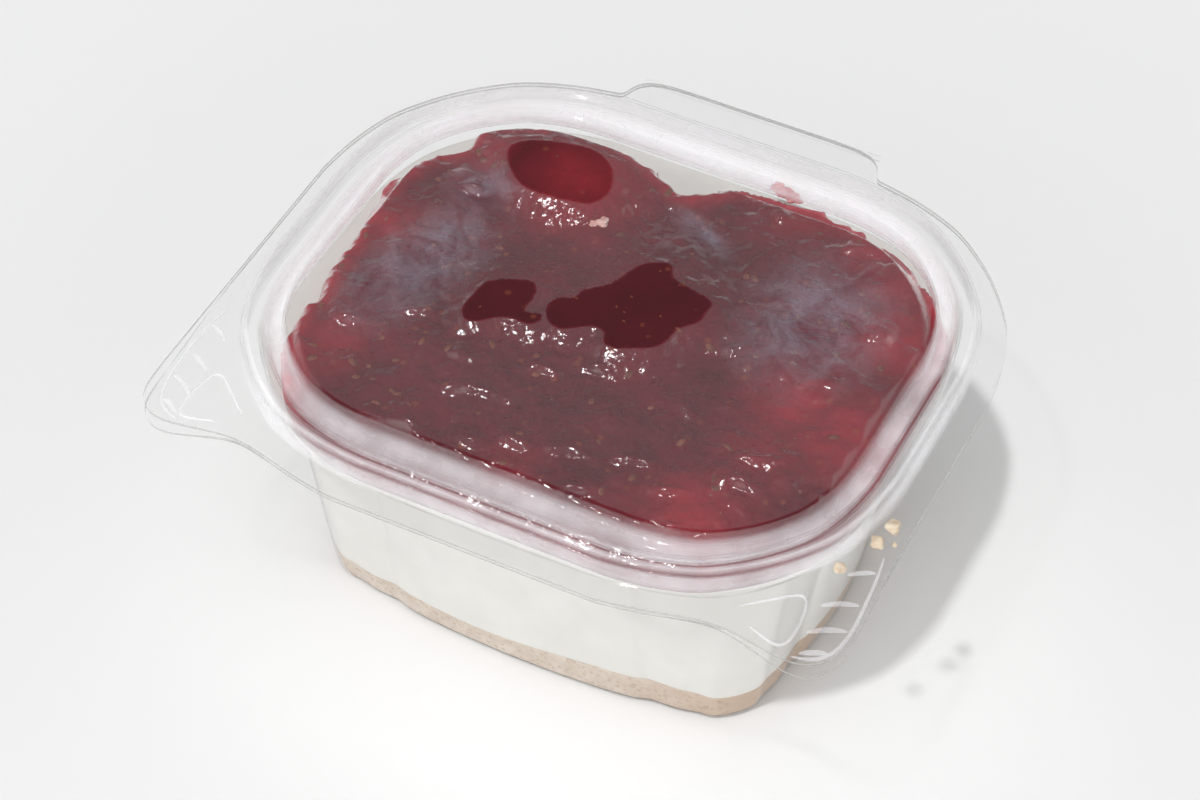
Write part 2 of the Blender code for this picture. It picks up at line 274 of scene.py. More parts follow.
def solidify(piece, thickness, rim=0):
    wall = piece.modifiers.new("wall", "SOLIDIFY")
    wall.thickness = thickness
    wall.offset = -1.0
    wall.material_offset_rim = rim


def put(tree, kind, inputs=None, **settings):
    node = tree.nodes.new("ShaderNode" + kind)
    for key, value in settings.items():
        setattr(node, key, value)
    for key, value in (inputs or {}).items():
        if isinstance(value, bpy.types.NodeSocket):
            tree.links.new(value, node.inputs[key])
        else:
            node.inputs[key].default_value = value
    return node


def calc(tree, operation, first, second):
    return put(tree, "Math", {0: first, 1: second}, operation=operation).outputs[0]


def remap(tree, value, low, high, newLow=0.0, newHigh=1.0):
    node = put(tree, "MapRange", {"Value": value, "From Min": low, "From Max": high,
                                            "To Min": newLow, "To Max": newHigh})
    return node.outputs["Result"]


def mixColour(tree, share, first, second):
    node = put(tree, "Mix", {0: share, 6: first, 7: second}, data_type="RGBA")
    return node.outputs[2]


def grain(tree, scale, detail=4.0, rough=0.55, distort=0.0, shift=0.0):
    place = put(tree, "TexCoord").outputs["Object"]
    if shift:
        moved = put(tree, "Mapping", {"Vector": place, "Location": (shift, shift, shift)})
        place = moved.outputs[0]
    node = put(tree, "TexNoise", {"Vector": place, "Scale": scale, "Detail": detail,
                                            "Roughness": rough, "Distortion": distort})
    return node.outputs["Fac"]


def cells(tree, scale):
    place = put(tree, "TexCoord").outputs["Object"]
    return put(tree, "TexVoronoi", {"Vector": place, "Scale": scale})


def bump(tree, shader, height, strength, distance):
    node = put(tree, "Bump", {"Height": height, "Strength": strength, "Distance": distance})
    tree.links.new(node.outputs["Normal"], shader.inputs["Normal"])


def paint(tree, shader, tone):
    tree.links.new(tone, shader.inputs["Base Color"])


def bareMaterial(name):
    mat = bpy.data.materials.new(name)
    mat.use_nodes = True
    tree = mat.node_tree
    tree.nodes.remove(tree.nodes["Principled BSDF"])
    return mat, tree


def finishBare(tree, shader):
    tree.links.new(shader.outputs[0], tree.nodes["Material Output"].inputs["Surface"])


def principled(name, roughness, **inputs):
    mat = bpy.data.materials.new(name)
    mat.use_nodes = True
    tree = mat.node_tree
    shader = tree.nodes["Principled BSDF"]
    shader.inputs["Roughness"].default_value = roughness
    for key, value in inputs.items():
        shader.inputs[key.replace("_", " ")].default_value = value
    return mat, tree, shader


def colour(r, g, b):
    return (r, g, b, 1.0)


# Clear sheet: what doesn't reflect passes straight through, and bends seen edge on turn grey
clear = {
    "faceOn": colour(0.998, 0.998, 0.998),
    "edgeOn": colour(0.60, 0.61, 0.61),
    "reflect": (0.010, 0.75),
    "gloss": 0.035,
    "ripple": (60.0, 0.10, 0.0006),  # scale, strength and height
    "mirrorTurn": 5.0,  # how late reflection and grey set in as the sheet turns away
    "greyTurn": 9.0,
    "streaks": (85, 0.65, 1.25),  # scale and range of the unevenness of the painted white
    "sheenWhite": colour(0.97, 0.96, 0.99),  # colour of the white painted on the sheet, mostly painted highlights and painted reflections
    "channelSheen": 0.28,  # share of light that each face scatters white as painted reflection, in the lid's channel, then on its ridge
    "ridgeSheen": 0.040,
    "ridgeHighlight": 0.26,  # painted highlight on the ridge's rounded outer edge
    "bendHighlight": 0.16,  # painted highlight on the bend from the flange up to the ridge
    "outerSide": 0.0070,  # this far outside the panel
    # faint white share on the tub's bead
    "beadWhite": 0.008,
    # painted highlight on the pressed lines, as a white share
    "pressedHighlight": 0.20,
    "shade": colour(0.994, 0.994, 0.994),  # what each face lets through when it casts a shadow
}


def clearSheet(name):
    mat, tree = bareMaterial(name)
    scale, strength, height = clear["ripple"]
    ripples = put(tree, "Bump", {"Height": grain(tree, scale, 1.0), "Strength": strength,
                                           "Distance": height}).outputs["Normal"]
    facing = put(tree, "LayerWeight", {"Blend": 0.5}).outputs["Facing"]
    mirror = remap(tree, calc(tree, "POWER", facing, clear["mirrorTurn"]), 0, 1, *clear["reflect"])
    tint = mixColour(tree, calc(tree, "POWER", facing, clear["greyTurn"]), clear["faceOn"], clear["edgeOn"])
    through = put(tree, "BsdfTransparent", {"Color": tint})
    # painted white where the shell is marked: a white diffuse share standing in for highlights and
    # reflections in the curved sheet
    sheenWhite = put(tree, "BsdfDiffuse", {"Color": clear["sheenWhite"]})
    paintedSheen = put(tree, "Attribute", attribute_name="paintedSheen").outputs["Fac"]
    scale, least, most = clear["streaks"]
    paintedSheen = calc(tree, "MULTIPLY", paintedSheen, remap(tree, grain(tree, scale, 2.0, 0.65), 0.3, 0.7, least, most))
    body = put(tree, "MixShader", {0: paintedSheen, 1: through.outputs[0], 2: sheenWhite.outputs[0]})
    gloss = put(tree, "BsdfAnisotropic", {"Color": colour(1, 1, 1), "Roughness": clear["gloss"],
                                                    "Normal": ripples})
    both = put(tree, "MixShader", {0: mirror, 1: body.outputs[0], 2: gloss.outputs[0]})
    shadow = put(tree, "LightPath").outputs["Is Shadow Ray"]
    shade = put(tree, "BsdfTransparent", {"Color": clear["shade"]})
    seen = put(tree, "MixShader", {0: shadow, 1: both.outputs[0], 2: shade.outputs[0]})
    finishBare(tree, seen)
    return mat


def sheetRim():
    # the sheet's cut edge is painted grey: painted shade for the dark line that light bent inside the sheet
    # shows along its edges, varied by noise
    mat, tree, shader = principled("cutEdgeOfSheet", 0.25, Alpha=0.6)
    edgeShade = mixColour(tree, grain(tree, 900), colour(0.36, 0.36, 0.35), colour(0.55, 0.55, 0.54))
    paint(tree, shader, edgeShade)
    return mat


tubClear = clearSheet("clearTubSheet")
lidClear = clearSheet("clearLidSheet")
rimGrey = sheetRim()

# The tub's outer face, from the foot to under its bead
wallRings = (
    ring(0.0015, pack["foot"], 1.0),
    ring(0.0240, ((0.0520, 0.0422), 0.0228), 1.0),
    ring(0.0432, ((0.0548, 0.0453), 0.0270), 0.9, (0.0255, 0.0155)),
    ring(0.0470, ((0.0590, 0.0496), 0.0332), 0.4, (0.0240, 0.0145)),
    rimRing(0.0495, 0.0606, 0.0512, 0.0358),
    rimRing(0.0580, 0.0614, 0.0520, 0.0366),
)


def wallLine(z, inset):
    # the wall's outline at a height, drawn in by an inset
    for low, high in zip(wallRings, wallRings[1:]):
        if z <= high["z"]:
            break
    t = (z - low["z"]) / (high["z"] - low["z"])
    mixed = {"z": z}
    for key in ("half", "flat"):
        mixed[key] = tuple(a + (b - a) * t for a, b in zip(low[key], high[key]))
    for key in ("corner", "deep"):
        mixed[key] = low[key] + (high[key] - low[key]) * t
    return lineOf(ring(z, (mixed["half"], mixed["corner"]), mixed["deep"], mixed["flat"], inset))


def panelDepth(x, y):
    # how far inside the lid's panel a point lies
    (a, b), r = pack["panel"]
    dx, dy = abs(x) - a + r, abs(y) - b + r
    return r - math.hypot(max(dx, 0), max(dy, 0)) - min(max(dx, dy), 0)


def paintSheenBetween(bm, low, high, share, beyond=-1.0):
    # marks the part of a shell that is painted white, as painted highlights and reflections, between two
    # heights and this far outside the lid's panel
    paintedSheen = bm.verts.layers.float.get("paintedSheen") or bm.verts.layers.float.new("paintedSheen")
    for vert in bm.verts:
        if low < vert.co.z < high and -panelDepth(vert.co.x, vert.co.y) > beyond:
            vert[paintedSheen] = share


def buildTub():
    foot = pack["foot"]
    flange = pack["tubFlange"]
    top = pack["beadTop"]
    # from the bottom's middle up and out: height, half sizes and corner
    rows = [ring(0.0008, foot, 1.0, inset=0.0085), ring(0.0, foot, 1.0, inset=0.0070),
            ring(0.0, foot, 1.0, inset=0.0008), *wallRings,
            rimRing(top, 0.0618, 0.0524, 0.0370), rimRing(top, 0.0631, 0.0535, 0.0383),
            rimRing(top - 0.0006, 0.0636, 0.0540, 0.0389), rimRing(flange + 0.0004, 0.0640, 0.0543, 0.0393),
            rimRing(flange, 0.0650, 0.0552, 0.0402), ring(flange, pack["flatEdge"], flat=flute["rimFlat"])]
    lines = held([lineOf(row) for row in rows] + [flangeLine(flange, tab["tubLeaf"], tab["drop"])])
    bm = growShell(lines, capFirst=True)
    faceUp(bm, 0, up=False)
    # a faint white share on the tub's bead
    paintSheenBetween(bm, flange + 0.0006, 1.0, clear["beadWhite"])
    shell = newPiece("clearTub", bm, "tub", [tubClear, rimGrey])
    subdivide(shell)
    solidify(shell, pack["sheet"], rim=1)
    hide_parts("tub")


def buildLid():
    flange, ridge, channel, panel = (pack[key] for key in ("lidFlange", "ridgeTop", "channel", "panelTop"))
    # from the flange up and in, as on the tub
    rows = [ring(flange, pack["flatEdge"], flat=flute["rimFlat"]), rimRing(flange, 0.0657, 0.0557, 0.0412),
            rimRing(flange + 0.0006, 0.0653, 0.0553, 0.0408), rimRing(ridge - 0.0017, 0.0650, 0.0550, 0.0405),
            rimRing(ridge - 0.0004, 0.0643, 0.0543, 0.0398), rimRing(ridge, 0.0636, 0.0536, 0.0391),
            rimRing(ridge, 0.0614, 0.0518, 0.0370), rimRing(ridge - 0.0006, 0.0604, 0.0509, 0.0361),
            rimRing(channel + 0.0006, 0.0595, 0.0498, 0.0351), rimRing(channel, 0.0589, 0.0490, 0.0344),
            rimRing(channel, 0.0578, 0.0466, 0.0315), rimRing(channel + 0.0006, 0.0573, 0.0459, 0.0305),
            rimRing(panel - 0.0006, 0.0569, 0.0454, 0.0298),
            ring(panel, pack["panel"], flat=flute["rimFlat"])]
    lines = held([flangeLine(flange, tab["lidLeaf"], 0.0)] + [lineOf(row) for row in rows])
    lines.append(lineOf(ring(panel, pack["panel"], flat=flute["rimFlat"], inset=0.0008)))
    bm = growShell(lines, capLast=True)
    faceUp(bm, -1)
    # painted reflections in the lid's channel and on its ridge
    paintSheenBetween(bm, channel, panel - 0.0003, clear["ridgeSheen"])
    paintSheenBetween(bm, channel, ridge - 0.0013, 0.0, clear["outerSide"])
    # painted highlights along the ridge's rounded outer edge and the flange's bend
    paintSheenBetween(bm, ridge - 0.0012, ridge - 0.0002, clear["ridgeHighlight"], clear["outerSide"])
    paintSheenBetween(bm, flange + 0.0001, flange + 0.0009, clear["bendHighlight"], clear["outerSide"])
    paintSheenBetween(bm, channel - 0.0001, channel + 0.0026, clear["channelSheen"])
    shell = newPiece("clearLid", bm, "lid", [lidClear, rimGrey])
    subdivide(shell)
    solidify(shell, pack["sheet"], rim=1)
    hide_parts("lid")


buildTub()
buildLid()
print("tub and lid drawn")

# Lines pressed into the tabs, in mm on the right side; the left side mirrors them
pressed = {
    "rail": ((67.6, -27.0), (68.6, -32.5), (69.0, -39.0), (69.2, -45.4), (68.1, -50.2), (65.4, -53.0),
             (61.5, -54.2)),
    "rungs": (((63.2, -34.4), (65.8, -32.3), (68.0, -31.4)), ((62.0, -42.8), (65.2, -40.3), (68.3, -39.1)),
              ((62.0, -48.9), (65.3, -46.0), (68.6, -44.8)), ((62.6, -53.0), (65.2, -51.2), (67.4, -50.3))),
    "lidPanel": ((49.8, -50.4), (54.6, -46.3), (58.4, -42.9), (60.3, -43.4), (61.3, -48.5), (61.3, -53.3),
                 (60.2, -55.7), (57.0, -54.8), (53.4, -53.5)),
    "wide": 0.0013,  # rungs
    "narrow": 0.0007,  # rails
    "deep": 0.0006,
    "shallow": 0.0004,
    "sides": 8,
    "endSize": 0.5,
    "sunk": 0.2,  # share of its height that a line reaches into the sheet
}


def pressedLine(bm, path, side, width, height, sheetFace):
    # a rounded bar along a path, sunk a little into the sheet and small at both ends
    points = [Vector((x * side, y, 0)) / 1000 for x, y in path]
    last = len(points) - 1
    lines = []
    for i, point in enumerate(points):
        ahead = points[min(i + 1, last)] - points[max(i - 1, 0)]
        across = Vector((-ahead.y, ahead.x, 0)).normalized()
        size = pressed["endSize"] if i in (0, last) else 1.0
        line = []
        for step in range(pressed["sides"]):
            angle = math.tau * step / pressed["sides"]
            corner = point + across * (math.cos(angle) * width / 2 * size)
            corner.z = sheetFace(corner.x, corner.y) + height * size * max(math.sin(angle), -pressed["sunk"])
            line.append(corner)
        lines.append(line)
    growShell(lines, True, True, into=bm)


def finishPressed(name, bm, body, sheet):
    # the pressed lines get a white share as their painted highlight
    paintSheenBetween(bm, 0.0, 1.0, clear["pressedHighlight"])
    faceOut(bm)
    lines = newPiece(name, bm, body, [sheet])
    subdivide(lines)


def tubTabFace(x, y):
    return pack["tubFlange"] - tab["drop"] * tabShare(x, y)


def lidTabFace(x, y):
    return pack["lidFlange"]


def buildPressedLines():
    underTub = bmesh.new()
    overLid = bmesh.new()
    for side in (1, -1):
        paths = [(pressed["rail"], pressed["narrow"])]
        paths += [(rung, pressed["wide"]) for rung in pressed["rungs"]]
        for path, width in paths:
            pressedLine(underTub, path, side, width, -pressed["deep"], tubTabFace)
        pressedLine(overLid, pressed["lidPanel"], side, pressed["narrow"], pressed["shallow"], lidTabFace)
    finishPressed("tubTabRibs", underTub, "tub", tubClear)
    finishPressed("lidTabLines", overLid, "lid", lidClear)


# The sheet folds from the tub's leaf over to the lid's along the back edge
hinge = {
    "middle": (0.0662, 0.05415),  # y and z
    "outer": 0.00062,
    "inner": 0.00030,
    "short": 0.0004,  # it ends this far inside the leaves' ends
    "blendHalf": 0.7,  # share of the outer radius over which it goes from the tub to the lid
    "steps": 8,
    "stretches": 12,
}


def buildHinge():
    y, z = hinge["middle"]
    steps = hinge["steps"]
    turns = [math.pi * (step / steps - 0.5) for step in range(steps + 1)]
    outer, inner = hinge["outer"], hinge["inner"]
    section = [(y + outer * math.cos(turn), z + outer * math.sin(turn)) for turn in turns]
    section += [(y + inner * math.cos(turn), z + inner * math.sin(turn)) for turn in reversed(turns)]
    half = pack["hingeHalf"] - hinge["short"]
    places = np.linspace(-half, half, hinge["stretches"])
    lines = [[Vector((x, py, pz)) for py, pz in section] for x in places]
    bm = growShell(lines, True, True)
    faceOut(bm)
    fold = newPiece("hingeFold", bm, None, [lidClear])
    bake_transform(fold)


buildPressedLines()
buildHinge()
print("pressed lines and hinge fold drawn")

food = {
    "intoWall": 0.00042,  # measured in from the wall's outer face, so the food reaches into the sheet
    "bottom": 0.0011,
    "footInset": 0.0003,
    "crustTop": 0.0075,
    # x and top in mm
    "crustLine": ((-46, 6.6), (-31, 6.7), (-25, 7.4), (-4, 6.2), (9, 8.9), (26, 8.5), (37, 8.0), (46, 7.3)),
    "crustWave": (0.0006, 110, 4.2),  # height, then the noise's scale and layer
    "crustRings": (0.16, 0.42, 0.72, 1.0),
    "crustSides": (0.0050, 0.0020),
    "cheeseTop": 0.0502,
    "cheeseWave": (0.0004, 60, 9.1),
    "cheeseSides": (0.0240, 0.0432, 0.0470, 0.0495),
    "cheeseRings": (1.0, 0.985, 0.90, 0.60, 0.30),
}


def wave(x, y, scale, layer):
    return noise.noise(Vector((x * scale, y * scale, layer)))


def swell(x, y, row):
    # one row of height, scale and layer
    return row[0] * wave(x, y, row[1], row[2])


def crustTop(x, y):
    along, tops = zip(*food["crustLine"])
    return float(np.interp(x * 1000, along, tops)) / 1000 + swell(x, y, food["crustWave"])


def cheeseTop(x, y):
    return food["cheeseTop"] + swell(x, y, food["cheeseWave"])


def onTop(line, height, scale=1.0):
    return [Vector((p.x * scale, p.y * scale, height(p.x * scale, p.y * scale))) for p in line]


biscuit = {
    "light": colour(0.64, 0.565, 0.49),
    "mid": colour(0.54, 0.445, 0.37),
    "dark": colour(0.36, 0.25, 0.18),
    "toasted": colour(0.47, 0.335, 0.24),
    "toastedFrom": (0.018, 0.046),  # in x: where the toasted tone starts and is full
    "toastedShare": 0.8,
    "soft": 260,  # scales
    "crumb": 1500,
    "relief": (0.5, 0.0004),  # strength and height
}
cream = {
    "light": colour(0.718, 0.708, 0.675),
    "shaded": colour(0.672, 0.66, 0.627),
    "soft": 120,
    "smears": 420,
    "relief": (0.12, 0.0004),
}


def biscuitCrumb():
    mat, tree, shader = principled("pressedBiscuit", 0.8)
    soft = grain(tree, biscuit["soft"], 5.0, 0.6)
    grains = cells(tree, biscuit["crumb"]).outputs["Color"]
    tone = mixColour(tree, remap(tree, soft, 0.35, 0.68), biscuit["light"], biscuit["mid"])
    place = put(tree, "TexCoord").outputs["Object"]
    along = put(tree, "SeparateXYZ", {0: place}).outputs[0]
    toast = remap(tree, along, *biscuit["toastedFrom"], 0.0, biscuit["toastedShare"])
    tone = mixColour(tree, toast, tone, biscuit["toasted"])
    fleck = put(tree, "SeparateColor", {"Color": grains}).outputs[0]
    tone = mixColour(tree, remap(tree, fleck, 0.78, 1.0, 0.0, 0.55), tone, biscuit["dark"])
    paint(tree, shader, tone)
    bits = calc(tree, "MULTIPLY", cells(tree, biscuit["crumb"]).outputs["Distance"], 0.6)
    bump(tree, shader, calc(tree, "ADD", soft, bits), *biscuit["relief"])
    return mat


def creamCheese():
    mat, tree, shader = principled("whiteCreamCheese", 0.42)
    soft = grain(tree, cream["soft"], 4.0)
    tone = mixColour(tree, remap(tree, soft, 0.3, 0.7), cream["light"], cream["shaded"])
    paint(tree, shader, tone)
    bump(tree, shader, grain(tree, cream["smears"], 5.0), *cream["relief"])
    return mat


def buildBiscuit():
    edge = wallLine(food["crustTop"], food["intoWall"])
    lines = [onTop(edge, crustTop, scale) for scale in food["crustRings"]]
    lines += [wallLine(z, food["intoWall"]) for z in food["crustSides"]]
    foot = wallLine(wallRings[0]["z"], food["intoWall"] + food["footInset"])
    lines.append([Vector((p.x, p.y, food["bottom"])) for p in foot])
    bm = growShell(lines, True, True, creased=(len(food["crustRings"]) - 1,))
    faceOut(bm)
    crust = newPiece("biscuitBase", bm, "tub", [biscuitCrumb()])
    subdivide(crust)
    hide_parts("biscuit_base")


def buildCheese():
    inset = food["intoWall"]
    edge = wallLine(food["crustTop"], inset)
    lines = [onTop(edge, crustTop, scale) for scale in food["crustRings"]]
    sides = [wallLine(z, inset) for z in food["cheeseSides"]]
    top = wallLine(food["cheeseTop"], inset)
    lines += held([lines[-1]] + sides)[1:]
    lines += [onTop(top, cheeseTop, scale) for scale in food["cheeseRings"]]
    edges = (len(food["crustRings"]) - 1, len(lines) - len(food["cheeseRings"]))
    bm = growShell(lines, True, True, creased=edges)
    faceOut(bm)
    cheese = newPiece("cheesecakeFilling", bm, "tub", [creamCheese()])
    subdivide(cheese)
    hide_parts("cheesecake")


buildBiscuit()
buildCheese()
print("biscuit and cheesecake drawn")

jam = {
    "level": 0.0572,
    "waves": ((0.00144, 70, 2.3), (0.00072, 160, 5.5)),  # broad: height, scale and layer of the noise
    "ripples": ((0.00042, 330, 3.1), (0.00020, 720, 7.7)),
    "beads": (0.00050, 290),  # height and scale of the fruit's lumps
    "beadPatches": (95, 6.6, 0.35),  # scale and layer of the noise that spreads them, and its lift
    "warp": ((0.0022, 140, 3.3), (0.0022, 140, 9.9)),  # bends the banks' outlines, in x and in y
    "touch": 0.0602,  # under the lid's panel
    "floor": 0.0499,
    "wallTop": 0.0536,
    "underChannel": 0.0549,
    "grid": 240,
    # how far the jam's foot stops short of the wall, in mm, at an angle round the tub from +X
    "shore": ((-120, 0), (12, 0), (20, 0.8), (27, 1.5), (35, 2.5), (51, 5.5), (65, 4.0), (77, 4.5),
              (93, 10.0), (109, 9.5), (119, 6.5), (131, 7.0), (140, 5.0), (148, 6.5), (164, 3.5), (180, 5.0),
              (195, 6.0), (214, 2.5), (225, 0.5), (235, 0), (240, 0)),
    "slope": 0.0030,
    "behind": 0.26,  # how steeply it falls away behind and before a wet patch
    "before": 0.66,
    "turnOver": 0.012,  # distance in y over which one turns into the other
    "soften": 0.0004,
    "clearFrom": 0.0001,  # from this far outside a wet patch, and over the next, lumps rise and air starts
    "clearOver": 0.0016,
    "airGap": 0.00025,
    "ragged": ((0.00022, 900, 2.2), (0.00022, 900, 8.8)),  # of the wet patches' outlines, in x and in y
    "shoreWaves": ((0.35, 130, 6.1), (0.18, 420, 8.4)),
    "wallWave": (0.0007, 120, 4.4),
    "wallOver": 0.0018,  # where the shore is nearer to the wall than this, the jam lies against it
    "wallRise": 0.0070,
    "thinEdge": 0.0075,
    "thinAtWall": 0.15,
    "thinGlow": 0.72,
    "channelSide": (0.0010, 1.15),  # under the lid's channel: inset and steepness of the step beside it
    "batch": 4000,  # places measured at once
    "bankRise": 0.0013,
    "bankFront": 0.0022,
    "bankBack": 0.0045,
    "bankTurn": 14,  # degrees
}
# Where the jam touches the lid, as outlines in mm
wetOutlines = (
    ((-38.3, 30.2), (-36.7, 33.4), (-32.2, 35.6), (-26.7, 37.2), (-21.5, 37.5), (-17.5, 35.1), (-14.4, 29.8),
     (-14.7, 25.3), (-17.1, 22.9), (-21.2, 22.3), (-25.3, 21.8), (-29.8, 21.6), (-34.2, 24.6)),
    ((-24.0, -14.4), (-25.2, -11.4), (-24.4, -8.0), (-24.7, -4.9), (-22.3, -2.2), (-19.3, -1.1), (-16.9, 0.1),
     (-14.8, -1.2), (-14.2, -3.8), (-14.7, -6.8), (-13.9, -8.4), (-10.5, -6.6), (-10.2, -9.2), (-12.4, -11.0),
     (-14.8, -9.9), (-18.4, -11.6), (-21.4, -15.1)),
    ((-11.2, -4.0), (-10.4, -1.4), (-6.8, -0.5), (-7.6, 1.8), (-5.3, 3.5), (-2.7, 6.1), (-1.8, 9.2),
     (-0.6, 12.9), (1.7, 14.9), (5.3, 16.3), (5.8, 12.5), (9.7, 11.7), (13.1, 11.1), (16.6, 10.0),
     (15.6, 6.6), (16.6, 4.6), (12.6, 0.9), (13.1, -1.8), (12.2, -4.8), (9.5, -6.8), (4.6, -9.2),
     (2.1, -8.4), (1.9, -5.7), (-1.2, -4.9), (-5.1, -8.9), (-7.8, -9.1), (-10.6, -6.7)),
)
# Banks whose steep fronts catch the light: middle x and y, half width, in mm
banks = ((-25, 19.0, 6), (-9, 32, 3), (-18.5, -21, 6), (-14, -27.5, 9), (-33, -15, 5), (-31, -8, 3),
         (-20.7, -41, 4), (-10, -40, 4), (-1, -36, 3), (9, -33, 6), (20, -30, 6), (14, -39.5, 5),
         (27, -33.5, 6), (40, -20.5, 6), (38, -27.5, 5), (46, -23, 4), (5, -12.5, 6), (24, 3, 4),
         (18, 40, 3), (34, 38.5, 5), (46.5, 19.5, 3), (-40, 20, 4), (-44, -22, 4), (22, -14, 4),
         (-5, -18, 4))
# Thin places where light comes through red: x, y, reach in mm, strength
glows = ((34, -37, 9, 1.0), (40, -4, 8, 0.9), (50, 19, 10, 0.8), (52, -8, 11, 0.8), (39, -17, 8, 0.45),
         (-22, 29, 11, 1.0), (-50, 4, 7, 0.7), (-44, -28, 7, 0.6), (20, 41, 8, 0.5), (37, 38, 8, 0.6),
         (-40, 30, 7, 0.5), (45, 32, 8, 0.5), (0, -41, 6, 0.3), (-14, 4, 5, 0.12))


def drawnOutline(outline):
    # rounds an outline given in mm and roughens it a little
    line = softLine([Vector((x, y, 0)) / 1000 for x, y in outline], 3)
    for point in line:
        point.x += swell(point.x, point.y, jam["ragged"][0])
        point.y += swell(point.x, point.y, jam["ragged"][1])
    return line


def outlineGap(places, outline):
    # distance from each place to a closed outline, negative inside it
    nearest = np.full(len(places), 1.0)
    inside = np.zeros(len(places), bool)
    corners = np.array([point[:2] for point in outline])
    for (ax, ay), (bx, by) in zip(corners, np.roll(corners, -1, axis=0)):
        edge = np.array((bx - ax, by - ay))
        away = places - (ax, ay)
        along = np.clip(away @ edge / (edge @ edge), 0, 1)
        nearest = np.minimum(nearest, np.hypot(*(away - along[:, None] * edge).T))
        crossed = (ay > places[:, 1]) != (by > places[:, 1])
        lean = (bx - ax) / ((by - ay) or 1.0)
        inside ^= crossed & (places[:, 0] < ax + (places[:, 1] - ay) * lean)
    return np.where(inside, -nearest, nearest)


def smooth(value):
    value = np.clip(value, 0, 1)
    return value * value * (3 - 2 * value)


def softMax(first, second, reach):
    share = np.clip(0.5 + (second - first) / (2 * reach), 0, 1)
    return first + (second - first) * share + reach * share * (1 - share)


def fruitLump(x, y, scale):
    # rounded beads of fruit, 1 at the top of each and 0 between them
    nearest = noise.voronoi(Vector((x * scale, y * scale, 0.37)))[0][0]
    return math.sqrt(max(1 - (nearest / 0.62) ** 2, 0))


def bankLift(places):
    turn = math.radians(jam["bankTurn"])
    lift = np.zeros(len(places))
    for bx, by, half in banks:
        dx, dy = places[:, 0] - bx / 1000, places[:, 1] - by / 1000
        along = (dx * math.cos(turn) + dy * math.sin(turn)) * 1000 / half
        back = dy * math.cos(turn) - dx * math.sin(turn)
        rear = np.exp(-np.abs(back) / jam["bankBack"])
        shape = np.where(back > 0, rear, smooth(1 + back / jam["bankFront"]))
        lift = np.maximum(lift, shape * smooth(1.15 - np.abs(along)))
    return lift * jam["bankRise"]


def jamLevel(places):
    # height of the jam's surface, and how much of each place touches the lid
    broad, fine = np.empty(len(places)), np.empty(len(places))
    warp = np.empty((len(places), 2))
    patchScale, patchLayer, patchLift = jam["beadPatches"]
    for i, (x, y) in enumerate(places):
        broad[i] = sum(swell(x, y, row) for row in jam["waves"])
        height, scale = jam["beads"]
        beads = max(wave(x, y, patchScale, patchLayer) + patchLift, 0)
        fine[i] = height * beads * fruitLump(x, y, scale) + sum(swell(x, y, row) for row in jam["ripples"])
        warp[i] = [swell(x, y, row) for row in jam["warp"]]
    level = jam["level"] + broad + bankLift(places + warp)
    wet = np.zeros(len(places))
    free = np.ones(len(places))
    for outline in wetOutlines:
        drawn = drawnOutline(outline)
        gap = outlineGap(places, drawn)
        middle = sum(point.y for point in drawn) / len(drawn)
        before = smooth(0.5 + (middle - places[:, 1]) / jam["turnOver"])
        fall = jam["behind"] + (jam["before"] - jam["behind"]) * before
        level = softMax(level, jam["touch"] - np.maximum(gap, 0) * fall, jam["soften"])
        wet = np.maximum(wet, smooth(-gap / jam["soften"]))
        free = np.minimum(free, smooth((gap - jam["clearFrom"]) / jam["clearOver"]))
    level += fine * free
    below = jam["touch"] - jam["airGap"] * smooth(free * 3)
    level = np.where(free > 0, np.minimum(level, below), jam["touch"])
    return level, wet


def jamShore():
    wall = softLine(wallLine(food["cheeseTop"] + 0.0004, food["intoWall"]), 3)
    turns = np.array([turn for turn, _ in jam["shore"]])
    gaps = np.array([gap for _, gap in jam["shore"]]) / 1000
    shore, inset = [], []
    for point in wall:
        turn = math.degrees(math.atan2(point.y, point.x))
        if turn < -120:
            turn += 360
        gap = float(np.interp(turn, turns, gaps))
        gap *= 1 + sum(swell(point.x, point.y, row) for row in jam["shoreWaves"])
        shore.append(point.xy - point.xy.normalized() * gap)
        inset.append(gap)
    return np.array(shore), np.array(inset)


# Tones, the scales of their noise, and the relief
jamLook = {
    "dark": colour(0.090, 0.008, 0.013),
    "red": colour(0.140, 0.012, 0.020),
    "thin": colour(0.36, 0.022, 0.034),
    "thinnest": colour(0.58, 0.14, 0.16),
    "still": colour(0.045, 0.002, 0.005),  # where it touches the lid
    "pip": colour(0.24, 0.060, 0.028),
    "patches": 95,
    "thinPatches": 210,
    "pips": 420,
    "bumps": (800, 2400),
    "relief": (0.45, 0.0005),
}


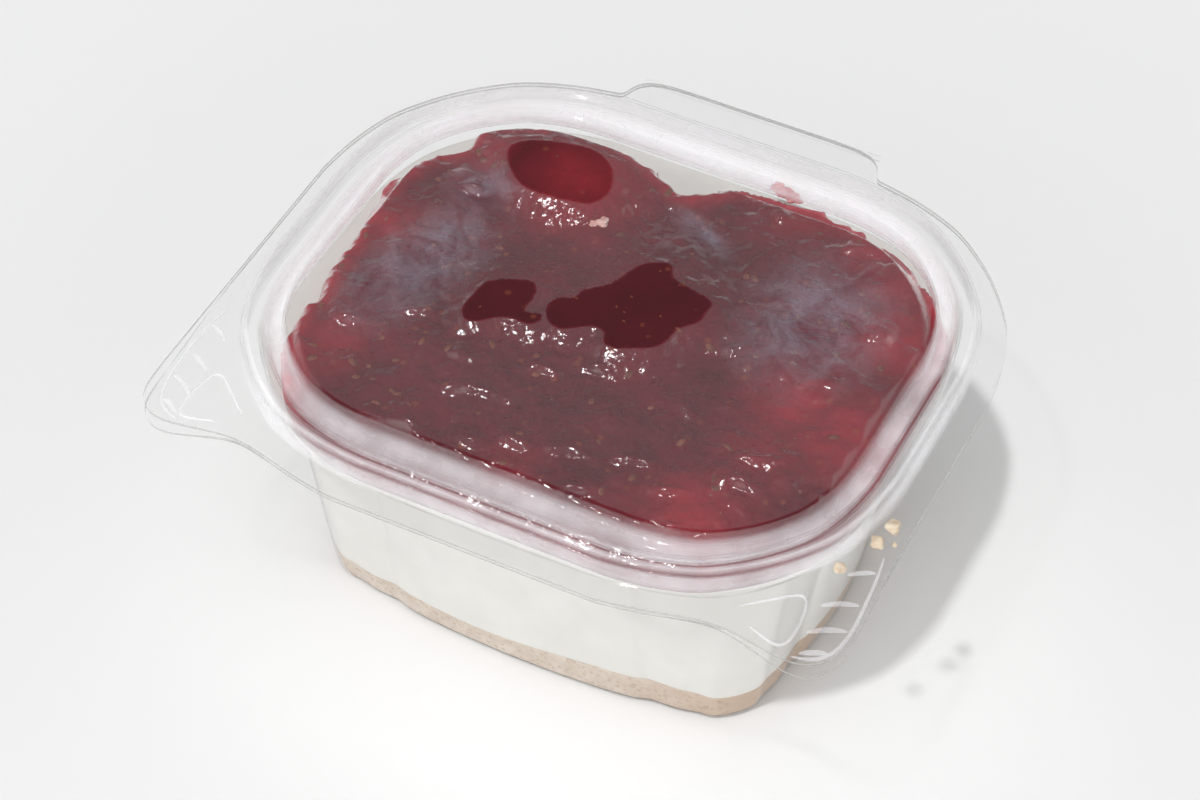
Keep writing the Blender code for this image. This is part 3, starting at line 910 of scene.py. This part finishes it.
def raspberryJam():
    mat, tree, shader = principled("raspberryJam", 0.16, Coat_Weight=1.0, Coat_Roughness=0.03)
    thin = put(tree, "Attribute", attribute_name="thin").outputs["Fac"]
    wet = put(tree, "Attribute", attribute_name="wet").outputs["Fac"]
    patchy = grain(tree, jamLook["patches"], 4.0, 0.6)
    deep = mixColour(tree, remap(tree, patchy, 0.35, 0.65), jamLook["dark"], jamLook["red"])
    uneven = remap(tree, grain(tree, jamLook["thinPatches"], 4.0, shift=3.0), 0.3, 0.7, 0.6, 1.0)
    share = calc(tree, "MULTIPLY", thin, uneven)
    tone = mixColour(tree, remap(tree, share, 0.0, 0.75), deep, jamLook["thin"])
    tone = mixColour(tree, remap(tree, share, 0.72, 1.0), tone, jamLook["thinnest"])
    still = calc(tree, "MULTIPLY", wet, calc(tree, "SUBTRACT", 1.0, calc(tree, "MULTIPLY", thin, 0.8)))
    tone = mixColour(tree, calc(tree, "MULTIPLY", still, 0.6), tone, jamLook["still"])
    pips = cells(tree, jamLook["pips"])
    pipShape = remap(tree, pips.outputs["Distance"], 0.16, 0.34, 1.0, 0.0)
    pick = put(tree, "SeparateColor", {"Color": pips.outputs["Color"]}).outputs[0]
    pipShare = calc(tree, "MULTIPLY", pipShape, remap(tree, pick, 0.84, 0.88, 0.0, 0.45))
    tone = mixColour(tree, pipShare, tone, jamLook["pip"])
    paint(tree, shader, tone)
    coarse, fine = jamLook["bumps"]
    small = calc(tree, "MULTIPLY", grain(tree, fine, 2.0), 0.10)
    bump(tree, shader, calc(tree, "ADD", grain(tree, coarse, 2.0, 0.4), small), *jamLook["relief"])
    return mat


def buildJam():
    shore, inset = jamShore()
    bm = bmesh.new()
    thin = bm.verts.layers.float.new("thin")
    wetShare = bm.verts.layers.float.new("wet")
    grid = bmesh.ops.create_grid(bm, x_segments=jam["grid"], y_segments=jam["grid"], size=1.0)["verts"]
    aspect = shore.max(axis=0)
    square = np.array([vert.co.xy for vert in grid])
    share = np.abs(square).max(axis=1)
    angle = np.arctan2(square[:, 1] * aspect[1], square[:, 0] * aspect[0])
    shoreAngle = np.arctan2(shore[:, 1], shore[:, 0])
    order = np.argsort(shoreAngle)
    radius = np.interp(angle, shoreAngle[order], np.hypot(*shore[order].T), period=2 * math.pi)
    places = np.stack([np.cos(angle), np.sin(angle)], axis=1) * (radius * share)[:, None]
    # distance to the shore, and whether the nearest shore is wall
    gap = np.empty(len(places))
    nearest = np.empty(len(places), int)
    for start in range(0, len(places), jam["batch"]):
        some = slice(start, start + jam["batch"])
        apart = np.hypot(places[some, None, 0] - shore[None, :, 0], places[some, None, 1] - shore[None, :, 1])
        gap[some] = apart.min(axis=1)
        nearest[some] = apart.argmin(axis=1)
    wall = 1 - smooth(inset[nearest] / jam["wallOver"])
    levels, wet = jamLevel(places)
    glow = np.zeros(len(places))
    for gx, gy, reach, strength in glows:
        far = ((places[:, 0] * 1000 - gx) ** 2 + (places[:, 1] * 1000 - gy) ** 2) / reach ** 2
        glow = np.maximum(glow, jam["thinGlow"] * strength * np.exp(-far))
    edge = (1 - smooth(gap / jam["thinEdge"])) * (1 - (1 - jam["thinAtWall"]) * wall)
    channelInset, channelRise = jam["channelSide"]
    for i, vert in enumerate(grid):
        x, y = places[i]
        level = levels[i]
        floor = cheeseTop(x, y) - 0.0001
        climb = (1 - (1 - min(gap[i] / jam["slope"], 1.0)) ** 2) ** 0.6
        free = floor + (level - floor) * climb
        wallTop = jam["wallTop"] + swell(x, y, jam["wallWave"])
        against = wallTop + (level - wallTop) * float(smooth(gap[i] / jam["wallRise"]))
        z = free + (against - free) * wall[i]
        ceiling = jam["underChannel"] + max(panelDepth(x, y) - channelInset, 0) * channelRise
        vert.co = (x, y, min(z, ceiling, jam["touch"]))
        vert[thin] = float(max(edge[i], glow[i]))
        vert[wetShare] = float(wet[i])
    rim = [edge for edge in bm.edges if edge.is_boundary]
    grown = bmesh.ops.extrude_edge_only(bm, edges=rim)["geom"]
    for item in grown:
        if isinstance(item, bmesh.types.BMVert):
            item.co.z = jam["floor"]
    bmesh.ops.contextual_create(bm, geom=[edge for edge in bm.edges if edge.is_boundary])
    faceOut(bm)
    layer = newPiece("raspberryJamLayer", bm, "tub", [raspberryJam()])
    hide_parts("raspberry_jam")
    return layer


jamLayer = buildJam()
print("jam drawn")


# Condensation under the lid's panel, wiped away where the jam touches it
mist = {
    "height": 0.06018,
    "thickness": 0.00004,
    "plain": 0.034,  # share of light that each of the film's two faces scatters
    "hazy": 0.115,
    "fade": (0.35, 1.2),  # share of an ellipse's reach where its haze starts to fade and is gone
    "streaks": 120,  # scales of the streaks, the fine drops and the clear specks
    "drops": 1900,
    "specks": 420,
    # soft haze: middle x and y, half sizes, turn in degrees
    "haze": ((0.0350, 0.0140, 0.0150, 0.0200, 0), (-0.0375, -0.0050, 0.0100, 0.0220, -12),
             (0.0060, 0.0263, 0.0090, 0.0030, -24), (-0.0360, 0.0180, 0.0080, 0.0080, 0)),
}


def ellipseReach(tree, x, y, rx, ry, degrees):
    place = put(tree, "TexCoord").outputs["Object"]
    local = put(tree, "Mapping", {"Vector": place, "Location": (x, y + midY, mist["height"]),
                                            "Rotation": (0, 0, math.radians(degrees)), "Scale": (rx, ry, 1)},
                vector_type="TEXTURE")
    flat = put(tree, "VectorMath", {0: local.outputs[0], 1: (1, 1, 0)}, operation="MULTIPLY")
    return put(tree, "VectorMath", {0: flat.outputs[0]}, operation="LENGTH").outputs["Value"]


def condensation():
    mat, tree = bareMaterial("condensation")
    haze = None
    for spot in mist["haze"]:
        one = remap(tree, ellipseReach(tree, *spot), *mist["fade"], 1.0, 0.0)
        haze = one if haze is None else calc(tree, "MAXIMUM", haze, one)
    streaks = remap(tree, grain(tree, mist["streaks"], 4.0, 0.65, distort=0.8), 0.36, 0.62)
    cloudy = calc(tree, "MULTIPLY", haze, streaks)
    share = remap(tree, cloudy, 0, 1, mist["plain"], mist["hazy"])
    drops = remap(tree, cells(tree, mist["drops"]).outputs["Distance"], 0.05, 0.55, 1.2, 0.75)
    specks = remap(tree, cells(tree, mist["specks"]).outputs["Distance"], 0.06, 0.12, 0.35, 1.0)
    share = calc(tree, "MULTIPLY", calc(tree, "MULTIPLY", share, drops), specks)
    through = put(tree, "BsdfTransparent", {"Color": colour(1, 1, 1)})
    tone = mixColour(tree, haze, colour(0.86, 0.86, 0.90), colour(0.80, 0.85, 1.0))
    white = put(tree, "BsdfDiffuse", {"Color": tone})
    both = put(tree, "MixShader", {0: share, 1: through.outputs[0], 2: white.outputs[0]})
    finishBare(tree, both)
    return mat


def buildMist():
    bm = bmesh.new()
    edge = softLine(lineOf(ring(mist["height"], pack["panel"], flat=flute["rimFlat"], inset=0.0010)), 2)
    for line in (edge, *(drawnOutline(outline) for outline in wetOutlines)):
        loop = bmesh.ops.create_circle(bm, segments=len(line), radius=0.01)["verts"]
        for vert, point in zip(loop, line):
            vert.co = (point.x, point.y, mist["height"])
    bmesh.ops.triangle_fill(bm, edges=bm.edges[:], use_beauty=True, normal=(0, 0, 1))
    faceUp(bm, 0)
    film = newPiece("lidCondensation", bm, "lid", [condensation()])
    solidify(film, mist["thickness"])


buildMist()
print("condensation drawn")

# Seeds lie half sunk in the jam
seeds = {
    "count": 120,
    "length": 0.0027,
    "shape": (1.0, 0.66, 0.58),
    "dark": colour(0.12, 0.024, 0.014),
    "light": colour(0.20, 0.055, 0.030),
    "from": 7,  # where the random draws start
    "sizes": (0.8, 1.1),
    "margin": 0.004,  # they keep this far inside the lid's panel
    "lowest": 0.0545,  # and above this height
    "sink": 0.00045,
    "deeper": 0.0003,
    "near": 0.0012,  # this near to the lid they lie flush, but for what stands proud
    "proud": 0.00006,
}


def seedShell():
    mat, tree, shader = principled("raspberrySeed", 0.6)
    tone = mixColour(tree, remap(tree, grain(tree, 500), 0.35, 0.65), seeds["dark"], seeds["light"])
    paint(tree, shader, tone)
    bump(tree, shader, grain(tree, 3000, 3.0), 0.3, 0.0002)
    return mat


def jamSurface():
    # looks up the jam's own surface, straight down
    mesh = jamLayer.data
    corners = [vert.co for vert in mesh.vertices]
    faces = [tuple(face.vertices) for face in mesh.polygons if len(face.vertices) == 4]
    return BVHTree.FromPolygons(corners, faces)


def buildSeeds():
    surface = jamSurface()
    draw = random.Random(seeds["from"])
    bm = bmesh.new()
    placed = 0
    (a, b), _ = pack["panel"]
    while placed < seeds["count"]:
        x = draw.uniform(-1, 1) * (a - seeds["margin"])
        y = draw.uniform(-1, 1) * (b - seeds["margin"])
        turn = draw.uniform(0, math.pi)
        size = draw.uniform(*seeds["sizes"])
        if panelDepth(x, y) < seeds["margin"]:
            continue
        hit, normal, _, _ = surface.ray_cast(Vector((x, y + midY, 0.1)), Vector((0, 0, -1)))
        if hit is None or hit.z < seeds["lowest"]:
            continue
        flush = seeds["length"] / 2 * size * seeds["shape"][2] - seeds["proud"]
        touching = hit.z > jam["touch"] - seeds["near"]
        depth = flush if touching else seeds["sink"] + draw.uniform(0, seeds["deeper"])
        fresh = bmesh.ops.create_icosphere(bm, subdivisions=2, radius=seeds["length"] / 2 * size)["verts"]
        tilt = normal.to_track_quat("Z", "Y").to_matrix().to_4x4()
        shape = Matrix.Diagonal((*seeds["shape"], 1.0))
        place = Matrix.Translation(hit - normal * depth) @ tilt @ Matrix.Rotation(turn, 4, "Z") @ shape
        bmesh.ops.transform(bm, matrix=place, verts=fresh)
        placed += 1
    return newPiece("raspberrySeeds", bm, "tub", [seedShell()], moved=False)


buildSeeds()
print("seeds drawn")

# Strays: crumbs on the lid's flange, a jam smear under its channel, a bit of cream on the jam
strays = {
    # each at x and y, with its radius, in mm
    "crumbs": ((66.9, -21.9, 1.35), (65.8, -26.4, 1.25), (62.3, -34.7, 1.1), (68.6, -25.2, 0.5)),
    "smears": ((11.8, 48.6, 1.3), (13.6, 48.0, 1.7), (15.6, 47.3, 1.4), (16.9, 46.9, 0.8)),
    "cream": ((-13.0, 22.0, 1.3), (-14.4, 20.8, 0.8)),
    "lumps": ((0.45, 1.4), (0.22, 3.7)),  # height and scale of the broad and the fine unevenness
    "flatness": (0.7, 0.25, 0.5),  # of crumbs, smears and cream
    "sits": 0.55,  # share of its radius by which a crumb's middle lies above the flange
}


def unevenLump(bm, place, radius, flatness, shift):
    fresh = bmesh.ops.create_icosphere(bm, subdivisions=3, radius=1.0)["verts"]
    (broadHigh, broadScale), (fineHigh, fineScale) = strays["lumps"]
    for vert in fresh:
        way = vert.co.copy()
        broad = broadHigh * noise.noise(way * broadScale + Vector((shift, 0, 0)))
        fine = fineHigh * noise.noise(way * fineScale + Vector((0, shift, 0)))
        vert.co = place + Vector((way.x, way.y, way.z * flatness)) * (radius * (1 + broad + fine))


def strayFood(name, roughness, light, dark, coat):
    mat, tree, shader = principled(name, roughness, Coat_Weight=coat)
    tone = mixColour(tree, remap(tree, grain(tree, 900, 5.0), 0.35, 0.65), light, dark)
    paint(tree, shader, tone)
    bump(tree, shader, grain(tree, 2400, 4.0), 0.5, 0.0003)
    return mat


def buildStrays():
    surface = jamSurface()
    crumbs, smears, bits = bmesh.new(), bmesh.new(), bmesh.new()
    crumbFlat, smearFlat, bitFlat = strays["flatness"]
    for number, (x, y, radius) in enumerate(strays["crumbs"]):
        place = Vector((x, y, pack["lidFlange"] * 1000 + radius * strays["sits"])) / 1000
        unevenLump(crumbs, place, radius / 1000, crumbFlat, number * 3.1)
    for number, (x, y, radius) in enumerate(strays["smears"]):
        place = Vector((x / 1000, y / 1000, pack["channel"] - pack["sheet"]))
        unevenLump(smears, place, radius / 1000, smearFlat, number * 4.3)
    for number, (x, y, radius) in enumerate(strays["cream"]):
        hit = surface.ray_cast(Vector((x / 1000, y / 1000 + midY, 0.1)), Vector((0, 0, -1)))[0]
        unevenLump(bits, Vector((x / 1000, y / 1000, hit.z)), radius / 1000, bitFlat, number * 2.7)
    newPiece("strayCrumbs", crumbs, "lid", [strayFood(
        "paleCrumb", 0.85, colour(0.78, 0.67, 0.53), colour(0.60, 0.47, 0.33), 0.0)])
    newPiece("jamSmears", smears, "lid", [strayFood(
        "thinJamSmear", 0.3, colour(0.72, 0.30, 0.30), colour(0.55, 0.12, 0.13), 0.5)])
    newPiece("creamOnJam", bits, "tub", [strayFood(
        "pinkedCream", 0.4, colour(0.80, 0.62, 0.56), colour(0.70, 0.32, 0.28), 0.5)])


buildStrays()
print("crumbs and smears drawn")

# Camera and light, at the photograph's angle
view = {
    "place": (0.2060, -0.41728, 0.52357),
    "azimuth": 26.72,
    "elevation": 46.55,
    "roll": 0.16,
    "lens": 105.78,
    "clip": (0.01, 20.0),
}


def placeCamera():
    data = bpy.data.cameras.new("camera")
    data.lens = view["lens"]
    data.sensor_width = 36.0
    data.clip_start, data.clip_end = view["clip"]
    camera = bpy.data.objects.new("camera", data)
    turn, rise = math.radians(view["azimuth"]), math.radians(view["elevation"])
    forward = Vector((-math.sin(turn) * math.cos(rise), math.cos(turn) * math.cos(rise), -math.sin(rise)))
    camera.rotation_mode = "QUATERNION"
    roll = Quaternion((0, 0, 1), math.radians(view["roll"]))
    camera.rotation_quaternion = forward.to_track_quat("-Z", "Y") @ roll
    camera.location = view["place"]
    link(camera)
    bpy.context.scene.camera = camera


# Each light: turn from the front and rise in degrees, distance, size, light on the floor, mirrored
lights = {
    "key": (17, 66, 5.0, (0.24, 0.24), 1.12, True),
    "overhead": (0, 84, 5.0, (4.5, 4.5), 0.95, False),
}
room = {
    "walls": 1.65,  # brightness of the pale room all round, low down, then overhead
    "ceiling": 0.14,
    "rise": (0.42, 0.68),  # height on the sky, 0 to 1, over which one turns into the other
    "flag": 0.10,  # a dark cloth, hung on the side that the lid's panel mirrors
    "flagWay": (-0.385, 0.765, 0.516),
    "flagEdge": (0.05, 0.72),  # cosine of the angle from the cloth's middle, where it starts and is whole
    "backdrop": 0.86,
    "floor": 0.875,
    "floorSize": 5.0,
    "floorCloud": (0.985, 0.985, 0.99),  # its faint cloudiness, as shares of that brightness
}


def placeLight(name, turn, rise, distance, size, lit, mirrored):
    data = bpy.data.lights.new(name, "AREA")
    data.shape = "RECTANGLE"
    data.size, data.size_y = size
    turn, rise = math.radians(turn), math.radians(rise)
    data.energy = lit * math.pi * distance ** 2 / math.sin(rise)
    lamp = bpy.data.objects.new(name, data)
    lamp.visible_glossy = mirrored
    away = Vector((-math.sin(turn) * math.cos(rise), -math.cos(turn) * math.cos(rise), math.sin(rise)))
    lamp.location = away * distance
    lamp.rotation_euler = (-away).to_track_quat("-Z", "Y").to_euler()
    link(lamp)


def placeRoom():
    world = bpy.data.worlds.new("room")
    bpy.context.scene.world = world
    world.use_nodes = True
    tree = world.node_tree
    back = tree.nodes["Background"]
    seen = put(tree, "LightPath").outputs["Is Camera Ray"]
    way = put(tree, "TexCoord").outputs["Generated"]
    toFlag = put(tree, "VectorMath", {0: way, 1: room["flagWay"]}, operation="DOT_PRODUCT")
    height = put(tree, "SeparateXYZ", {0: way}).outputs[2]
    sky = calc(tree, "MINIMUM", remap(tree, height, *room["rise"], room["walls"], room["ceiling"]),
               remap(tree, toFlag.outputs["Value"], *room["flagEdge"], room["walls"], room["flag"]))
    bright = put(tree, "Mix", {0: seen, 2: sky, 3: room["backdrop"]}).outputs[0]
    back.inputs["Color"].default_value = colour(1.0, 1.0, 1.0)
    tree.links.new(bright, back.inputs["Strength"])


def placeFloor():
    bm = bmesh.new()
    bmesh.ops.create_circle(bm, cap_ends=True, segments=64, radius=room["floorSize"])
    mesh = bpy.data.meshes.new("floor")
    bm.to_mesh(mesh)
    bm.free()
    mat, tree, shader = principled("paleFloor", 0.75, Specular_IOR_Level=0.0)
    tone = room["floor"]
    cloudy = colour(*(tone * share for share in room["floorCloud"]))
    paint(tree, shader, mixColour(tree, grain(tree, 6, 3.0), colour(tone, tone, tone), cloudy))
    mesh.materials.append(mat)
    floor = bpy.data.objects.new("floor", mesh)
    link(floor)


placeCamera()
for name, settings in lights.items():
    placeLight(name, *settings)
placeRoom()
placeFloor()
bpy.context.scene.view_settings.view_transform = "Standard"
rays = bpy.context.scene.cycles
rays.transparent_max_bounces = 24  # light passes many layers of clear sheet
rays.max_bounces = 5
rays.diffuse_bounces = 3
rays.glossy_bounces = 2
print("camera, lights and floor placed")
